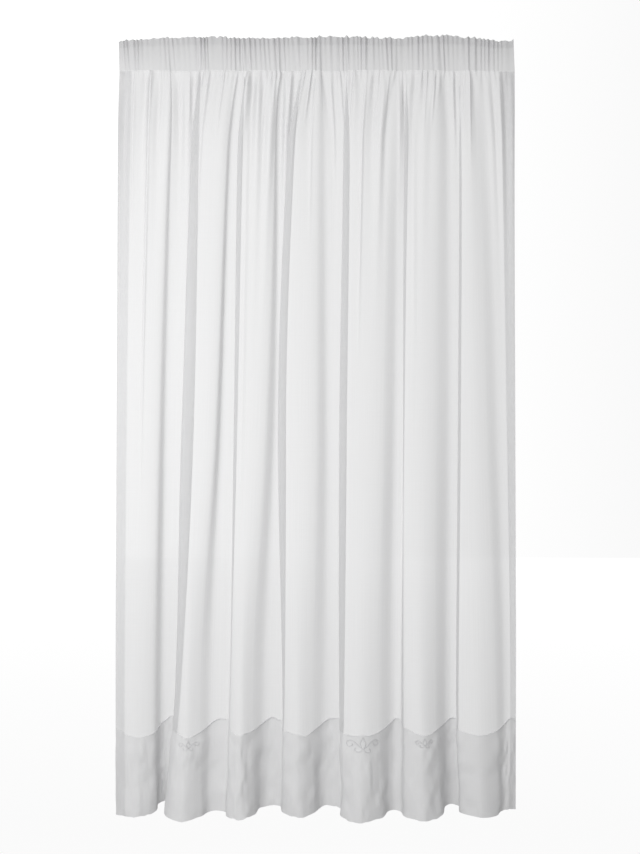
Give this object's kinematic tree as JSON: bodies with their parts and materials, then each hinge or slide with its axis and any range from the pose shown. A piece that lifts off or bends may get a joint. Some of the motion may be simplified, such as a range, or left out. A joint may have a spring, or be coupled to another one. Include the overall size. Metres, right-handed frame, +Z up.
{
  "type": "sheer voile curtain",
  "caption": "Full-length sheer voile curtain hanging in soft uneven folds from a gathered heading, with a denser scalloped border along its foot.",
  "frame": {"origin": "middle of the curtain's top edge, which is what holds it up", "axes": "+Z up the drop, +X to the right along the heading, -Y towards the room, where the front folds stand out"},
  "size_m": [1.2601, 0.1391, 2.4548],
  "materials": {
    "voile": "sheer off-white plain-weave voile, matt",
    "heading_voile": "double gathered voile over heading tape, matt",
    "border_cloth": "denser off-white batiste with a corded satin-stitch edge, matt"
  },
  "bodies": {
    "root": {"voile_panel": "voile", "heading_band": "heading_voile", "border_band": "border_cloth"}
  },
  "joints": []
}
